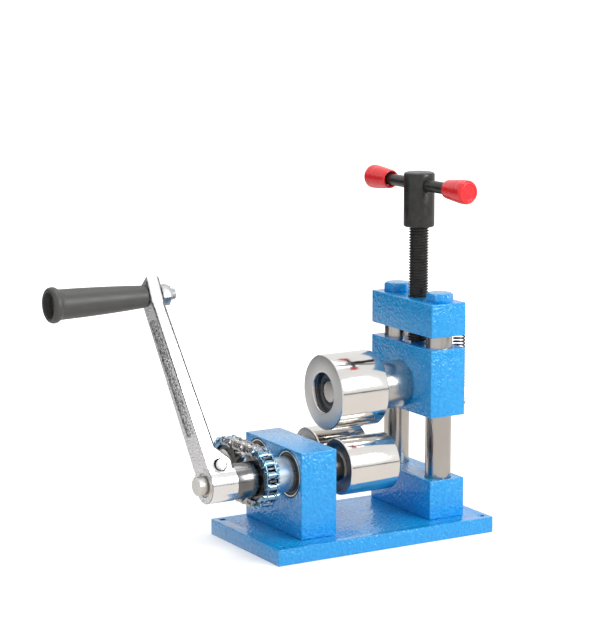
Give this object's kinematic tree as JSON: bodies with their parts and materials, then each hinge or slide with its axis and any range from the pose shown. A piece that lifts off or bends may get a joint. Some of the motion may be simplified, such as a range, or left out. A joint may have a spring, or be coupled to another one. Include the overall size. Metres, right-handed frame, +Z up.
{
  "type": "ring bending machine",
  "caption": "Hand cranked bench machine that bends strip and rod into rings between two chain driven lower rollers and a screw pressed upper roller.",
  "frame": {"origin": "centre of the base plate's underside", "axes": "+X along the shafts from the crank to the tower, +Y from the front roller to the back roller, +Z up"},
  "size_m": [0.3755, 0.1484, 0.3183],
  "materials": {
    "blue_paint": "glossy hammered enamel",
    "polished_steel": "turned and polished steel",
    "ground_steel": "ground round bar",
    "dark_steel": "oiled dark steel",
    "black_oxide": "satin black oxide",
    "black_rubber": "smooth moulded rubber",
    "crank_chrome": "bright plate on a forging",
    "zinc": "bright zinc plate",
    "red_plastic": "moulded, smooth",
    "bearing_steel": "ground and lapped",
    "cage_brass": "pressed",
    "spring_steel": "drawn wire"
  },
  "bodies": {
    "frame": {"base_plate": "blue_paint", "bearing_block": "blue_paint", "post_block": "blue_paint", "top_block": "blue_paint", "front_guide_post": "ground_steel", "back_guide_post": "ground_steel", "base_screws": "black_oxide", "top_bolts": "zinc", "drive_bearing_outer_rings": "bearing_steel", "driven_bearing_outer_rings": "bearing_steel", "bearing_seals": "black_rubber", "chain_outer_plates": "dark_steel", "chain_inner_plates": "dark_steel", "chain_rollers": "dark_steel", "chain_bushes": "dark_steel", "chain_pins": "zinc", "upper_spring_screws": "zinc", "front_return_spring": "spring_steel", "back_return_spring": "spring_steel"},
    "drive": {"drive_shaft": "ground_steel", "drive_roller": "polished_steel", "drive_sprocket": "dark_steel", "drive_key": "dark_steel", "crank_spacer": "dark_steel", "drive_bearing_inner_rings": "bearing_steel", "crank_arm": "crank_chrome", "cotter_pin": "crank_chrome", "cotter_washer": "zinc", "cotter_nut": "zinc", "handle_bolt": "zinc", "handle_sleeve": "zinc", "handle_nut": "zinc"},
    "handle": {"handle_grip": "black_rubber"},
    "drive_balls": {"drive_bearing_balls": "bearing_steel", "drive_bearing_cages": "cage_brass"},
    "driven": {"driven_shaft": "ground_steel", "driven_roller": "polished_steel", "driven_sprocket": "dark_steel", "driven_key": "dark_steel", "driven_bearing_inner_rings": "bearing_steel"},
    "driven_balls": {"driven_bearing_balls": "bearing_steel", "driven_bearing_cages": "cage_brass"},
    "slide": {"slide_block": "blue_paint", "upper_axle": "ground_steel", "upper_axle_nut": "zinc", "upper_bearing_inner_rings": "bearing_steel", "lower_spring_screws": "zinc"},
    "upper_roll": {"upper_roller": "polished_steel", "upper_bearing_outer_rings": "bearing_steel", "upper_bearing_seals": "black_rubber", "upper_bearing_spacer": "dark_steel", "upper_circlip": "dark_steel"},
    "upper_balls": {"upper_bearing_balls": "bearing_steel", "upper_bearing_cages": "cage_brass"},
    "screw": {"lead_screw": "black_oxide", "screw_head": "black_oxide", "cross_bar": "black_oxide", "bar_grips": "red_plastic"}
  },
  "joints": [
    {"name": "crank_turn", "type": "hinge", "parent": "frame", "child": "drive", "pos_m": [-0.1, -0.0189, 0.068], "axis": [1, 0, 0], "continuous": true, "deforming": ["chain_outer_plates", "chain_inner_plates", "chain_rollers", "chain_bushes", "chain_pins"]},
    {"name": "handle_spin", "type": "hinge", "parent": "drive", "child": "handle", "pos_m": [-0.219, 0.05669, 0.22027], "axis": [1, 0, 0], "continuous": true},
    {"name": "driven_turn", "type": "hinge", "parent": "frame", "child": "driven", "pos_m": [-0.06, 0.0319, 0.068], "axis": [1, 0, 0], "continuous": true},
    {"name": "drive_balls_turn", "type": "hinge", "parent": "frame", "child": "drive_balls", "pos_m": [-0.0598, -0.0189, 0.068], "axis": [1, 0, 0], "continuous": true},
    {"name": "driven_balls_turn", "type": "hinge", "parent": "frame", "child": "driven_balls", "pos_m": [-0.0598, 0.0319, 0.068], "axis": [1, 0, 0], "continuous": true},
    {"name": "slide_travel", "type": "slide", "parent": "frame", "child": "slide", "axis": [0, 0, 1], "range_m": [-0.0084, 0.0106], "deforming": ["front_return_spring", "back_return_spring"]},
    {"name": "upper_roller_spin", "type": "hinge", "parent": "slide", "child": "upper_roll", "pos_m": [-0.0026, 0.0065, 0.1294], "axis": [1, 0, 0], "continuous": true},
    {"name": "upper_balls_turn", "type": "hinge", "parent": "slide", "child": "upper_balls", "pos_m": [-0.0026, 0.0065, 0.1294], "axis": [1, 0, 0], "continuous": true},
    {"name": "screw_turn", "type": "hinge", "parent": "slide", "child": "screw", "pos_m": [0.0723, 0.0065, 0.25], "axis": [0, 0, 1], "range_deg": [-1205, 1520]}
  ],
  "couplings": [
    {"joint": "driven_turn", "follows": "crank_turn", "ratio": 1},
    {"joint": "drive_balls_turn", "follows": "crank_turn", "ratio": 0.3976},
    {"joint": "driven_balls_turn", "follows": "crank_turn", "ratio": 0.3976},
    {"joint": "upper_balls_turn", "follows": "upper_roller_spin", "ratio": 0.5835},
    {"joint": "slide_travel", "follows": "screw_turn", "m_per_rad": 0.00039789}
  ]
}
